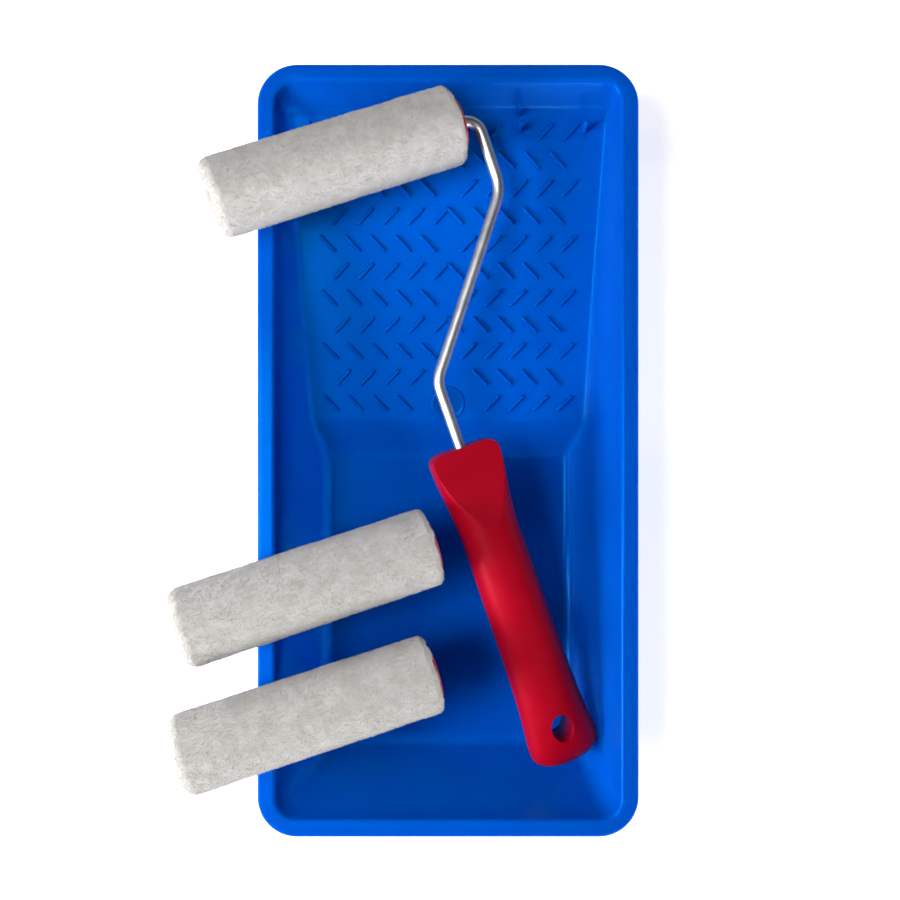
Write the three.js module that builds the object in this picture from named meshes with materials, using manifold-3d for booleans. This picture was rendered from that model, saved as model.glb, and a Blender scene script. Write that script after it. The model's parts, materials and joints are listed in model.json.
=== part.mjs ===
// Paint roller tray set: a moulded tray, a mini roller lying in it and two spare sleeves on its rim.
// Millimetres, +Z up. Origin: centre of the well's underside. +Y runs from the well to the top of the ramp.
import * as THREE from 'three';
import { mergeVertices } from 'three/addons/utils/BufferGeometryUtils.js';
import Module from 'manifold-3d';

const wasm = await Module();
wasm.setup();

// ---- Driving dimensions -------------------------------------------------------------------------

// Tray: inner surface, measured across X (half widths) and along Y.
const RIM_Z = 54;
const FLOOR_Z = 2;
const CREASE_Z = 41;
const WALL = 1.8;
const HALF_WIDTH = { rim: 72.4, crease: 69.3, floor: 57.95 };
const FRONT_Y = { rim: -85.6, crease: -80.9, floor: -66.8 };
const BACK_Y = { rim: 224.4, crease: 215.7, floor: 206 };
const CORNER_R = { rim: 10, crease: 9.5, floor: 6 };
const STEP_FOOT_Y = 68.4;
const RAMP_LOW = { y: 83.4, z: 14 };

// Tray: rim flange with its downturned lip.
const RIM_HALF_WIDTH = 80;
const RIM_FRONT_Y = -92.6;
const RIM_BACK_Y = 231.4;
const RIM_CORNER_R = 16.5;
const LIP_DEPTH = 9;
const LIP_WALL = 2;
const LIP_ROUND = 1.4;

// Tray: herringbone ribs, posts and boss on the ramp, legs under it.
const RIB = { length: 9.6, width: 1.1, height: 1, angle: 46, pitchX: 11.07, pitchY: 11.65, rows: 11 };
const RIB_TOP_ROW_Y = 207.6;
const RIB_EVEN_X = 8.9;
const RIB_ODD_X = 3.3;
const RIBS_PER_SIDE = 5;
const POST = { radius: 1.25, height: 10.5 };
const POST_PLACES = [[59, 208.4], [31, 208.4], [30.5, 215.2]];
const BOSS = { radius: 8, height: 0.6, y: 90 };
const LEG = { x: 44, y: 205, width: 30, depth: 15, wall: 2, taper: 2 };

// Roller: the sleeve's axis is local X, the handle runs along local -Y, both in the plane z = 0.
const WIRE_R = 2.5;
const WIRE_END_X = -59.5;
const WIRE_POINTS = [[52.8, 0, 6.8], [52.8, -31, 8.5], [0, -98, 8.5]];
const WIRE_IN_HANDLE = 50;
const HANDLE_TOP_Y = -127.5;
const HANDLE_LENGTH = 145.2;
const FIT_GAP = 0.08;

// Handle: half width and half thickness at distances from its top end.
const HANDLE_SECTIONS = [
  [0, 10.2, 9.0], [0.8, 12.6, 9.6], [2.5, 14.4, 10.2], [5, 15.0, 10.5], [10, 15.0, 10.8],
  [18, 14.4, 11.1], [27, 13.5, 11.2], [37, 12.8, 11.2], [50, 12.9, 11.2], [70, 13.1, 11.1],
  [90, 13.4, 10.7], [106, 13.7, 10.2], [118, 14.2, 9.9], [126, 14.9, 9.6], [133, 15.6, 9.2],
  [137, 15.8, 8.8], [139.8, 15.3, 8.2], [141.8, 14.2, 7.4], [143.4, 12.3, 6.3], [144.6, 9.4, 5.0],
  [145.2, 6.6, 3.8],
];
const HANDLE_SQUARENESS = 2.4;
const FACET = { length: 35, edgeHalfThickness: 5.4 };
const HANG_HOLE = { halfWidth: 4.9, halfLength: 6, fromEnd: 17.2 };

// Sleeve: a pile cover on a core tube, closed by a bearing cap and an end plug.
const SLEEVE_X = { open: -63.5, cap: 44.3 };
const PILE = { outer: 16.4, inner: 11.15, endRound: 4 };
const CORE = { outer: 11, inner: 9.6 };
const CAP_DOME = 1.6;
const SPIGOT = { outer: 9.52, length: 13 };
const BORE_R = WIRE_R + FIT_GAP;
const RECESS = { radius: 7, depth: 7 };
const CLIP = { radius: 5.2, width: 2.4 };
const COLLAR = { radius: 4.4, width: 2.2 };
const PLAY = 0.4;

// Where the roller lies: its sleeve on the left rim and the ramp, its handle on the right wall.
const ROLLER_POSE = { x: -36.6, y: 190.6, z: 64.05, yaw: 19.3, pitch: 6.2, roll: 10.45 };
const SPARE_TILT = 10.3;
const SPARES = [{ x: -56.6, y: 14.3, yaw: 17.5 }, { x: -56.5, y: -37.1, yaw: 16.1 }];
const REST_GAP = 0.3;

const ROUND = 32;
const rad = THREE.MathUtils.degToRad;
const RAMP_SLOPE = Math.atan2(CREASE_Z - RAMP_LOW.z, BACK_Y.crease - RAMP_LOW.y);
const rampZ = (y) => RAMP_LOW.z + (y - RAMP_LOW.y) * Math.tan(RAMP_SLOPE);

// ---- Solids and booleans ------------------------------------------------------------------------

function solid(geometry) {
  const bare = geometry.clone();
  bare.deleteAttribute('normal');
  bare.deleteAttribute('uv');
  const merged = mergeVertices(bare, 1e-4);
  return new wasm.Manifold(new wasm.Mesh({
    numProp: 3,
    vertProperties: new Float32Array(merged.attributes.position.array),
    triVerts: new Uint32Array(merged.index.array),
  }));
}

function geometryOf(manifold) {
  const mesh = manifold.getMesh();
  const geometry = new THREE.BufferGeometry();
  geometry.setAttribute('position', new THREE.BufferAttribute(mesh.vertProperties, 3));
  geometry.setIndex(new THREE.BufferAttribute(mesh.triVerts, 1));
  geometry.computeVertexNormals();
  return geometry;
}

// A closed skin through rings of equal length, each counter-clockwise seen from the last ring.
function loft(rings) {
  const count = rings[0].length;
  const positions = rings.flat().flatMap((p) => [p.x, p.y, p.z]);
  const index = [];
  for (let r = 0; r + 1 < rings.length; r += 1) {
    for (let i = 0; i < count; i += 1) {
      const a = r * count + i;
      const b = r * count + ((i + 1) % count);
      index.push(a, b, b + count, a, b + count, a + count);
    }
  }
  for (const [ring, start, flip] of [[rings[0], 0, true], [rings.at(-1), (rings.length - 1) * count, false]]) {
    const centre = new THREE.Vector3();
    ring.forEach((p) => centre.addScaledVector(p, 1 / count));
    const hub = positions.length / 3;
    positions.push(centre.x, centre.y, centre.z);
    for (let i = 0; i < count; i += 1) {
      const pair = [start + i, start + ((i + 1) % count)];
      index.push(hub, ...(flip ? pair.reverse() : pair));
    }
  }
  const geometry = new THREE.BufferGeometry();
  geometry.setAttribute('position', new THREE.Float32BufferAttribute(positions, 3));
  geometry.setIndex(index);
  geometry.computeVertexNormals();
  return geometry;
}

function roundedRing(halfWidth, yLow, yHigh, radius, z, steps = 6) {
  const corners = [
    [halfWidth - radius, yHigh - radius, 0],
    [radius - halfWidth, yHigh - radius, 90],
    [radius - halfWidth, yLow + radius, 180],
    [halfWidth - radius, yLow + radius, 270],
  ];
  const ring = [];
  for (const [x, y, start] of corners) {
    for (let i = 0; i <= steps; i += 1) {
      const a = rad(start + (90 * i) / steps);
      ring.push(new THREE.Vector3(x + radius * Math.cos(a), y + radius * Math.sin(a), z));
    }
  }
  return ring;
}

function block(x0, x1, y0, y1, z0, z1) {
  const geometry = new THREE.BoxGeometry(x1 - x0, y1 - y0, z1 - z0);
  return geometry.translate((x0 + x1) / 2, (y0 + y1) / 2, (z0 + z1) / 2);
}

// A prism across the tray's width, from an outline given as [y, z] pairs.
function prismAlongX(outline, halfLength) {
  const shape = new THREE.Shape(outline.map(([y, z]) => new THREE.Vector2(y, z)));
  const geometry = new THREE.ExtrudeGeometry(shape, { depth: 2 * halfLength, bevelEnabled: false });
  geometry.translate(0, 0, -halfLength);
  return geometry.applyMatrix4(new THREE.Matrix4().set(0, 0, 1, 0, 1, 0, 0, 0, 0, 1, 0, 0, 0, 0, 0, 1));
}

// A body turned about local X, from a closed outline given as [x, radius] pairs.
function turned(outline) {
  const points = [...outline, outline[0]].map(([x, r]) => new THREE.Vector2(r, x));
  return new THREE.LatheGeometry(points, ROUND).rotateZ(-Math.PI / 2);
}

function ring(x0, x1, inner, outer) {
  return turned([[x0, inner], [x0, outer], [x1, outer], [x1, inner]]);
}

// ---- Tray ---------------------------------------------------------------------------------------

function cavity() {
  const rings = ['floor', 'crease', 'rim'].map((level) => {
    const z = { floor: FLOOR_Z, crease: CREASE_Z, rim: RIM_Z }[level];
    return roundedRing(HALF_WIDTH[level], FRONT_Y[level], BACK_Y[level], CORNER_R[level], z);
  });
  rings.push(rings[2].map((p) => p.clone().setZ(RIM_Z + 5)));
  return solid(loft(rings)).subtract(underside(0));
}

// Everything below the well floor, step and ramp, lowered by the given wall thickness.
function underside(wall) {
  const drop = wall / Math.cos(RAMP_SLOPE);
  const step = wall * 0.5;
  const floor = FLOOR_Z - (wall > 0 ? FLOOR_Z : 0);
  const far = RIM_BACK_Y + 20;
  return solid(prismAlongX([
    [RIM_FRONT_Y - 20, -30], [far, -30], [far, rampZ(far) - drop],
    [RAMP_LOW.y + step, rampZ(RAMP_LOW.y + step) - drop], [STEP_FOOT_Y + 2 * step, floor],
    [RIM_FRONT_Y - 20, floor],
  ], RIM_HALF_WIDTH + 20));
}

function shell() {
  const slope = (HALF_WIDTH.crease - HALF_WIDTH.floor) / (CREASE_Z - FLOOR_Z);
  const levels = [
    [HALF_WIDTH.floor - slope * FLOOR_Z, FRONT_Y.floor + 0.7, BACK_Y.floor, CORNER_R.floor, 0],
    [HALF_WIDTH.crease, FRONT_Y.crease, BACK_Y.crease, CORNER_R.crease, CREASE_Z],
    [HALF_WIDTH.rim, FRONT_Y.rim, BACK_Y.rim, CORNER_R.rim, RIM_Z],
  ];
  const rings = levels.map(([w, front, back, r, z]) => (
    roundedRing(w + WALL, front - WALL, back + WALL, r + WALL, z)));
  return solid(loft(rings)).subtract(underside(WALL));
}

function rim() {
  const outer = [
    [0, RIM_Z - LIP_DEPTH], [0, RIM_Z - LIP_ROUND], [0.4 * LIP_ROUND, RIM_Z - 0.4 * LIP_ROUND],
    [LIP_ROUND, RIM_Z],
  ].map(([inset, z]) => roundedRing(
    RIM_HALF_WIDTH - inset, RIM_FRONT_Y + inset, RIM_BACK_Y - inset, RIM_CORNER_R - inset, z));
  const inner = [RIM_Z - LIP_DEPTH - 1, RIM_Z - LIP_WALL].map((z) => roundedRing(
    RIM_HALF_WIDTH - LIP_WALL, RIM_FRONT_Y + LIP_WALL, RIM_BACK_Y - LIP_WALL, RIM_CORNER_R - LIP_WALL, z));
  return solid(loft(outer)).subtract(solid(loft(inner)));
}

// One channel-shaped leg: a plate across and two fins, narrower at the foot.
function leg(side) {
  const { x, y, width, depth, wall, taper } = LEG;
  const top = rampZ(y + depth) + 1;
  const outline = (grow, z) => [
    [-width / 2 - grow, 0], [width / 2 + grow, 0], [width / 2 + grow, depth],
    [width / 2 + grow - wall, depth], [width / 2 + grow - wall, wall],
    [-width / 2 - grow + wall, wall], [-width / 2 - grow + wall, depth], [-width / 2 - grow, depth],
  ].map(([dx, dy]) => new THREE.Vector3(side * x + dx, y + dy, z));
  const foot = outline(0, 0);
  const head = outline(taper, top);
  const count = foot.length;
  const faces = THREE.ShapeUtils.triangulateShape(foot.map((p) => new THREE.Vector2(p.x, p.y)), []);
  const index = [];
  for (const [a, b, c] of faces) index.push(c, b, a, a + count, b + count, c + count);
  for (let i = 0; i < count; i += 1) {
    const j = (i + 1) % count;
    index.push(i, j, j + count, i, j + count, i + count);
  }
  const geometry = new THREE.BufferGeometry().setFromPoints([...foot, ...head]);
  geometry.setIndex(index);
  return solid(geometry);
}

function onRamp(geometry, x, y, turn) {
  geometry.rotateZ(rad(turn)).rotateX(RAMP_SLOPE);
  return geometry.translate(x, y, rampZ(y));
}

// Herringbone rows: even rows point one way, odd rows the other and meet at the centre line.
// The two lowest rows leave room for the boss, and two posts take the place of ribs in the top row.
function ribs() {
  const out = [];
  const buried = 0.5;
  for (let row = 0; row < RIB.rows; row += 1) {
    const even = row % 2 === 0;
    for (let j = 0; j < RIBS_PER_SIDE; j += 1) {
      const besideBoss = row >= RIB.rows - 2 && j === 0;
      const atPost = row === 0 && j === 2;
      if (besideBoss || atPost) continue;
      for (const side of [-1, 1]) {
        const x = side * ((even ? RIB_EVEN_X : RIB_ODD_X) + j * RIB.pitchX);
        const bar = new THREE.BoxGeometry(RIB.length, RIB.width, RIB.height + buried);
        bar.translate(0, 0, (RIB.height - buried) / 2);
        out.push(onRamp(bar, x, RIB_TOP_ROW_Y - row * RIB.pitchY, side * (even ? 1 : -1) * RIB.angle));
      }
    }
  }
  return out;
}

function posts() {
  return POST_PLACES.flatMap(([x, y]) => [-1, 1].map((side) => {
    const pin = new THREE.CylinderGeometry(POST.radius, POST.radius, POST.height + 1, 12).rotateX(Math.PI / 2);
    return pin.translate(side * x, y, rampZ(y) + (POST.height - 1) / 2);
  }));
}

function boss() {
  const disc = new THREE.CylinderGeometry(BOSS.radius, BOSS.radius, BOSS.height + 1, ROUND);
  disc.rotateX(Math.PI / 2).translate(0, 0, (BOSS.height - 1) / 2);
  return onRamp(disc, 0, BOSS.y, 0);
}

function tray() {
  let body = shell().add(rim()).add(leg(-1)).add(leg(1)).subtract(cavity());
  for (const feature of [...ribs(), ...posts(), boss()]) body = body.add(solid(feature));
  return geometryOf(body);
}

// ---- Roller frame -------------------------------------------------------------------------------

// A path in the plane z = 0 through corner points, each rounded to its own radius.
class RoundedPath extends THREE.Curve {
  constructor(start, corners, end) {
    super();
    this.flat = new THREE.Path();
    this.flat.moveTo(...start);
    const stops = [start, ...corners, end].map(([x, y]) => new THREE.Vector2(x, y));
    corners.forEach(([, , radius], i) => this.addCorner(stops[i], stops[i + 1], stops[i + 2], radius));
    this.flat.lineTo(...end);
  }

  addCorner(before, corner, after, radius) {
    const u = before.clone().sub(corner).normalize();
    const v = after.clone().sub(corner).normalize();
    const half = Math.acos(u.dot(v)) / 2;
    const centre = u.clone().add(v).normalize().multiplyScalar(radius / Math.sin(half)).add(corner);
    const from = u.multiplyScalar(radius / Math.tan(half)).add(corner).sub(centre);
    const to = v.multiplyScalar(radius / Math.tan(half)).add(corner).sub(centre);
    const clockwise = from.cross(to) < 0;
    this.flat.lineTo(centre.x + from.x, centre.y + from.y);
    this.flat.absarc(centre.x, centre.y, radius, from.angle(), to.angle(), clockwise);
  }

  getPoint(t, target = new THREE.Vector3()) {
    const p = this.flat.getPointAt(t);
    return target.set(p.x, p.y, 0);
  }
}

function wireFrame() {
  const section = new THREE.Shape();
  section.absarc(0, 0, WIRE_R, 0, 2 * Math.PI, false);
  const path = new RoundedPath([WIRE_END_X, 0], WIRE_POINTS, [0, HANDLE_TOP_Y - WIRE_IN_HANDLE]);
  return new THREE.ExtrudeGeometry(section, { steps: 96, curveSegments: 6, extrudePath: path });
}

function handleRing(distance, halfWidth, halfThickness, count = 28) {
  const power = 2 / HANDLE_SQUARENESS;
  const bend = (v) => Math.sign(v) * Math.abs(v) ** power;
  return Array.from({ length: count }, (_, i) => {
    const a = (2 * Math.PI * i) / count;
    return new THREE.Vector3(
      halfWidth * bend(Math.cos(a)), HANDLE_TOP_Y - distance, halfThickness * bend(Math.sin(a)));
  });
}

// The flat facet on the upper or lower face, rising from the top end to the full thickness.
function facetCut(side) {
  const thick = 11.2;
  const tilt = Math.atan2(thick - FACET.edgeHalfThickness, FACET.length);
  const cut = block(-20, 20, -FACET.length - 10, 10, 0, 20);
  cut.rotateX(-tilt).translate(0, HANDLE_TOP_Y, FACET.edgeHalfThickness);
  return side > 0 ? cut : cut.rotateY(Math.PI);
}

function handle() {
  const rings = HANDLE_SECTIONS.map(([s, w, t]) => handleRing(s, w, t));
  let body = solid(loft(rings));
  for (const side of [1, -1]) body = body.subtract(solid(facetCut(side)));
  const oval = new THREE.Shape();
  oval.absellipse(0, 0, HANG_HOLE.halfWidth, HANG_HOLE.halfLength, 0, 2 * Math.PI, false, 0);
  const hole = new THREE.ExtrudeGeometry(oval, { depth: 40, bevelEnabled: false, curveSegments: 12 });
  hole.translate(0, HANDLE_TOP_Y - HANDLE_LENGTH + HANG_HOLE.fromEnd, -20);
  const socket = new THREE.CylinderGeometry(BORE_R, BORE_R, WIRE_IN_HANDLE + 6, ROUND);
  socket.translate(0, HANDLE_TOP_Y - (WIRE_IN_HANDLE + 6) / 2 + 5, 0);
  return geometryOf(body.subtract(solid(hole)).subtract(solid(socket)));
}

// ---- Sleeve -------------------------------------------------------------------------------------

function pileCover() {
  const { outer, inner, endRound } = PILE;
  const { open, cap } = SLEEVE_X;
  const corner = (x, way) => [0, 30, 60, 90].map((deg) => [
    x + way * endRound * (1 - Math.sin(rad(deg))), outer - endRound * (1 - Math.cos(rad(deg)))]);
  return turned([[open, inner], ...corner(open, 1).reverse(), ...corner(cap, -1), [cap, inner]]);
}

function coreTube() {
  return ring(SLEEVE_X.open + 2, SLEEVE_X.cap - 2, CORE.inner, CORE.outer);
}

// Domed flange at the wire side, with a spigot in the core and a bore that widens at its mouth.
function bearingCap() {
  const face = SLEEVE_X.cap;
  const flange = face - 1.9;
  const dome = [0.15, 0.45, 0.75, 1].map((f) => [
    face + CAP_DOME * Math.sqrt(1 - f * f), CORE.outer * f]);
  return turned([
    [face - SPIGOT.length, BORE_R], [face - SPIGOT.length, SPIGOT.outer], [flange, SPIGOT.outer],
    [flange, CORE.outer], ...dome.reverse().filter(([, r]) => r > 4), [face + CAP_DOME * 0.93, 4],
    [face - 2.5, BORE_R],
  ]);
}

// Plug at the far end: a flange, and a hub whose open recess takes the retaining clip.
function endPlug() {
  const { open } = SLEEVE_X;
  const web = open + RECESS.depth;
  return turned([
    [open, RECESS.radius], [web, RECESS.radius], [web, BORE_R], [open + SPIGOT.length, BORE_R],
    [open + SPIGOT.length, SPIGOT.outer], [open + 1.9, SPIGOT.outer], [open + 1.9, CORE.outer],
    [open, CORE.outer],
  ].reverse());
}

function retainingClip() {
  const start = SLEEVE_X.open + RECESS.depth - PLAY - CLIP.width;
  return ring(start, start + CLIP.width, BORE_R, CLIP.radius);
}

function stopCollar() {
  const start = SLEEVE_X.open + SPIGOT.length + PLAY;
  return ring(start, start + COLLAR.width, BORE_R, COLLAR.radius);
}

// ---- Assembly -----------------------------------------------------------------------------------

const finish = (color, roughness, metalness = 0) => ({ color, roughness, metalness });
const BLUE = finish(0x0055d2, 0.28);
const RED = finish(0xaa0014, 0.42);
const STEEL = finish(0xc8c8c8, 0.25, 1);
const ORANGE = finish(0xc03010, 0.45);
const WHITE = finish(0xe4e0da, 0.95);
const GREY = finish(0x8a8d90, 0.5);

function piece(name, geometry, look) {
  const mesh = new THREE.Mesh(geometry, new THREE.MeshStandardMaterial(look));
  mesh.name = name;
  return mesh;
}

function sleeve(prefix) {
  const group = new THREE.Group();
  group.add(
    piece(`${prefix}_pile_cover`, pileCover(), WHITE),
    piece(`${prefix}_core_tube`, coreTube(), GREY),
    piece(`${prefix}_bearing_cap`, bearingCap(), ORANGE),
    piece(`${prefix}_end_plug`, endPlug(), ORANGE),
  );
  return group;
}

function roller() {
  const group = new THREE.Group();
  const { x, y, z, yaw, pitch, roll } = ROLLER_POSE;
  group.position.set(x, y, z);
  group.rotation.set(rad(pitch), rad(roll), rad(yaw), 'ZXY');
  group.add(
    piece('wire_frame', wireFrame(), STEEL),
    piece('handle', handle(), RED),
    piece('retaining_clip', retainingClip(), STEEL),
    piece('stop_collar', stopCollar(), STEEL),
    sleeve('roller'),
  );
  return group;
}

// A sleeve lying across the left rim's inner edge, tilted down into the tray.
function spareSleeve(prefix, { x, y, yaw }) {
  const holder = new THREE.Group();
  const body = sleeve(prefix);
  body.position.x = -(SLEEVE_X.open + SLEEVE_X.cap) / 2;
  const run = Math.cos(rad(SPARE_TILT)) * Math.cos(rad(yaw));
  const rise = Math.sin(rad(SPARE_TILT));
  const reach = (PILE.outer + REST_GAP) * Math.hypot(run, rise);
  const z = RIM_Z + (reach - (x + HALF_WIDTH.rim) * rise) / run;
  holder.position.set(x, y, z);
  holder.rotation.set(0, rad(SPARE_TILT), rad(yaw), 'ZXY');
  holder.add(body);
  return holder;
}

const assembly = new THREE.Group();
assembly.add(piece('tray', tray(), BLUE), roller());
SPARES.forEach((place, i) => assembly.add(spareSleeve(`spare_${i + 1}`, place)));

export default assembly;
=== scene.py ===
import json
import math

import bmesh
import bpy
import numpy as np
from mathutils import Matrix, Vector


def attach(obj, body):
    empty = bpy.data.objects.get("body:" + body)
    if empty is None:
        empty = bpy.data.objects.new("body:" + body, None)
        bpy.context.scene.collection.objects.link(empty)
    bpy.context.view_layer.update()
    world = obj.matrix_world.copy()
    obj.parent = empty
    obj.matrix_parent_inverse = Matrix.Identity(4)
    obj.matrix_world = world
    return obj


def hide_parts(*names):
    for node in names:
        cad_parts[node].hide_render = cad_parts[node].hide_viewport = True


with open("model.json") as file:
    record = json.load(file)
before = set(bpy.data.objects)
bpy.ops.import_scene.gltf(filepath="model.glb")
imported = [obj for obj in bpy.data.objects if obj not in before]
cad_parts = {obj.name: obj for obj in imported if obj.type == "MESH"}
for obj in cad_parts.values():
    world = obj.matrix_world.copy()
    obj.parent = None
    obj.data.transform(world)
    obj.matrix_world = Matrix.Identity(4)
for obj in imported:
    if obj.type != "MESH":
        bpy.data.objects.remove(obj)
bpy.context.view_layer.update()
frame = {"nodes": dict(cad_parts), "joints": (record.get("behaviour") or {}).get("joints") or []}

# Paint roller tray set. Sizes below are millimetres in the shared frame, and MM turns them into metres.
MM = 0.001

# Tray: the moulded inner surface, as half widths and Y places at the rim, the crease and the floor.
RIM_Z, CREASE_Z, FLOOR_Z = 54.0, 41.0, 2.0
WELL_HALF_WIDTH, RAMP_HALF_WIDTH, INNER_HALF_WIDTH = 57.7, 62.7, 72.8
FRONT_FOOT_Y, FRONT_RIM_Y, BACK_FOOT_Y, BACK_RIM_Y = -66.8, -85.6, 215.7, 224.4
STEP_FOOT_Y, RAMP_LOW_Y, RAMP_LOW_Z = 68.4, 83.4, 14.0
CORNER_FOOT_R, CORNER_RIM_R = 1.5, 9.0
WELL_FILLET, RAMP_FILLET, RIM_FILLET = 4.2, 1.9, 1.2
WALL = 1.9
RIM_HALF_WIDTH, RIM_FRONT_Y, RIM_BACK_Y, RIM_CORNER_R = 80.0, -92.6, 231.4, 16.7
LIP_DEPTH, LIP_WALL, LIP_ROUND, LIP_ROUND_HEIGHT = 9.0, 1.9, 1.3, 0.9
RAMP_SLOPE = math.atan2(CREASE_Z - RAMP_LOW_Z, BACK_FOOT_Y - RAMP_LOW_Y)

# Ramp: herringbone ribs, posts and boss, and the legs below.
RIB_LENGTH, RIB_WIDTH, RIB_HEIGHT, RIB_ANGLE = 9.8, 1.6, 1.4, 46.0
RIB_PITCH_X, RIB_PITCH_Y, RIB_ROWS, RIBS_PER_SIDE = 11.07, 11.65, 11, 5
RIB_TOP_ROW_Y, RIB_EVEN_X, RIB_ODD_X = 207.6, 8.9, 3.3
POST_R, POST_HEIGHT = 1.25, 10.5
POST_PLACES = ((59.0, 208.4), (31.0, 208.4), (30.5, 215.2))
BOSS_R, BOSS_Y = 7.6, 91.0
LEG_X, LEG_Y, LEG_WIDTH, LEG_DEPTH, LEG_WALL, LEG_TAPER = 44.0, 205.0, 30.0, 15.0, 2.0, 2.0

# Roller, in its own axes: X along the sleeve, -Y towards the handle's end.
WIRE_R = 2.5
WIRE_END_X = -59.5
WIRE_CORNERS = ((52.8, 0.0, 6.8), (52.8, -31.0, 18.0), (0.0, -98.0, 12.0))
HANDLE_TOP_Y, HANDLE_LENGTH = -127.5, 145.2
HANDLE_SECTIONS = (
    (0, 10.2, 9.0), (0.8, 12.6, 9.6), (2.5, 14.4, 10.2), (5, 15.0, 10.5), (10, 15.0, 10.8),
    (18, 14.4, 11.1), (27, 13.5, 11.2), (37, 12.8, 11.2), (50, 12.9, 11.2), (70, 13.1, 11.1),
    (90, 13.4, 10.7), (106, 13.7, 10.2), (118, 14.2, 9.9), (126, 14.9, 9.6), (133, 15.6, 9.2),
    (137, 15.8, 8.8), (139.8, 15.3, 8.2), (141.8, 14.2, 7.4), (143.4, 12.3, 6.3), (144.6, 9.4, 5.0),
    (145.2, 6.6, 3.8),
)
HANDLE_SQUARENESS, TOP_SQUARENESS = 2.4, 6.5
FACET_LENGTH, FACET_EDGE, FACET_END = 35.0, 5.4, 11.2
PARTING_DRAFT, SOCKET_DEPTH = 0.07, 53.0
HOLE_HALF_WIDTH, HOLE_HALF_LENGTH, HOLE_FROM_END = 4.9, 6.0, 17.2

# Sleeve, in its own axes: X along it, with the capped end at +X.
OPEN_X, CAP_X = -63.5, 44.3
PILE_R, PILE_INNER_R = 16.4, 11.15
CORE_R, CORE_BORE_R, CAP_DOME = 11.0, 9.6, 1.2
SPIGOT_R, SPIGOT_LENGTH, BORE_R = 9.52, 13.0, 2.58
RECESS_R, RECESS_DEPTH, PLAY = 7.0, 7.0, 0.4
CLIP_R, CLIP_WIDTH, COLLAR_R, COLLAR_WIDTH = 5.2, 2.4, 4.4, 2.2
PLUG_SET_BACK, PLUG_FLANGE, CAP_FLANGE = 2.4, 1.0, 1.9

# Pile: its skin lies a little inside the sleeve's radius, and fibres stand on it.
PILE_INSET, OPEN_ROUND, CAP_ROUND, CAP_ROUND_R = 0.35, 4.6, 2.4, 2.2
ROLLER_CAP_GAP, SPARE_CAP_GAP = 2.1, 0.9
UNEVEN = ((0.08, 11.0), (0.025, 4.0), (0.02, 1.8))
UNEVEN_LOW, UNEVEN_HIGH = -0.3, 0.25
END_WAVE, END_PITCH, END_LOW, END_HIGH = 0.30, 7.0, -0.7, 0.5
FIBRES, QUICK_FIBRES, FIBRE_LEAN = 42000, 9000, 0.36
FIBRE_WIDTHS, FIBRE_LENGTHS, FIBRE_ROOT = (0.09, 0.17), (0.45, 1.0), 0.15
PILE_SEED = 11

# Camera: millimetres above the rim and off the tray's middle, with the lens in millimetres.
CAMERA_HEIGHT, CAMERA_X, CAMERA_Y, LENS, SENSOR = 420, 0.84, 0.29, 40.11, 36.0

# Lamps, in metres and watts. The keys are aimed at the tray's middle from a place relative to it.
LIT_MIDDLE = (0.0, 0.07, 0.03)
KEY_DIRECTION, KEY_DISTANCE, KEY_SIZE, KEY_POWER = (-0.42, -0.03, 0.90), 0.9, (0.30, 0.30), 5.6
LOW_KEY_OFFSET, LOW_KEY_SIZE, LOW_KEY_POWER = (-0.74, -0.26, 0.42), (0.32, 0.32), 8.2
OVERHEAD_OFFSET, OVERHEAD_SIZE, OVERHEAD_POWER = (0.16, 0.0, 0.9), (0.8, 0.8), 0.35
LOW_LAMPS = (
    # name, place, target, size, power, spread in degrees
    ("low_front", (0.44, -0.72, 0.15), (0.0, 0.05, 0.06), (0.9, 0.18), 4.6, 180),
    ("low_right", (0.46, 0.07, 0.02), (0.07, 0.07, 0.02), (0.5, 0.04), 1.5, 180),
    ("low_left", (-0.46, 0.07, 0.015), (-0.07, 0.07, 0.015), (0.5, 0.03), 0.27, 14),
)

# Floor, in metres: a bright sheet, and a darker patch without glow, painted shade, that lies hidden under the
# well.
FLOOR_HALF, FLOOR_GLOW = 3, 0.66
SHADE_HALF_X, SHADE_FRONT_Y, SHADE_BACK_Y, SHADE_RISE = 0.056, -0.065, 0.066, 0.00002

# Surround: an even glow, a pale ring at the horizon, and soft lobes as (direction, sharpness, strength).
AMBIENT, HORIZON, HORIZON_SHARPNESS = 0.01, 0.72, 5.0
SURROUND = (((0.1, -1.0, 0.04), 8.0, 0.10), ((-1.0, 0.0, 0.05), 4.0, 0.18))

nodes = frame["nodes"]
joints = {j["name"]: j for j in frame["joints"]}


# ---- Mesh helpers ------------------------------------------------------------------------------

def new_object(name, vertices, faces, material, body, smooth_angle=35.0):
    """A mesh object from millimetre vertices in the shared frame, riding on a body."""
    mesh = bpy.data.meshes.new(name)
    mesh.from_pydata((np.asarray(vertices, float) * MM).tolist(), [], faces)
    mesh.validate()
    obj = bpy.data.objects.new(name, mesh)
    bpy.context.scene.collection.objects.link(obj)
    finish_mesh(obj, smooth_angle)
    obj.data.materials.append(material)
    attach(obj, body)
    return obj


def finish_mesh(obj, smooth_angle):
    """Outward normals, smooth shading and sharp edges past the given angle."""
    work = bmesh.new()
    work.from_mesh(obj.data)
    bmesh.ops.remove_doubles(work, verts=work.verts, dist=1e-6)
    bmesh.ops.recalc_face_normals(work, faces=work.faces)
    work.to_mesh(obj.data)
    work.free()
    obj.data.shade_smooth()
    obj.data.set_sharp_from_angle(angle=math.radians(smooth_angle))


def grid_faces(rows, columns, wrap=True, offset=0):
    """Quads of a grid of rows by columns, closed round each row when wrap is set."""
    faces = []
    last = columns if wrap else columns - 1
    for r in range(rows - 1):
        for c in range(last):
            a = offset + r * columns + c
            b = offset + r * columns + (c + 1) % columns
            faces.append((a, b, b + columns, a + columns))
    return faces


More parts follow.
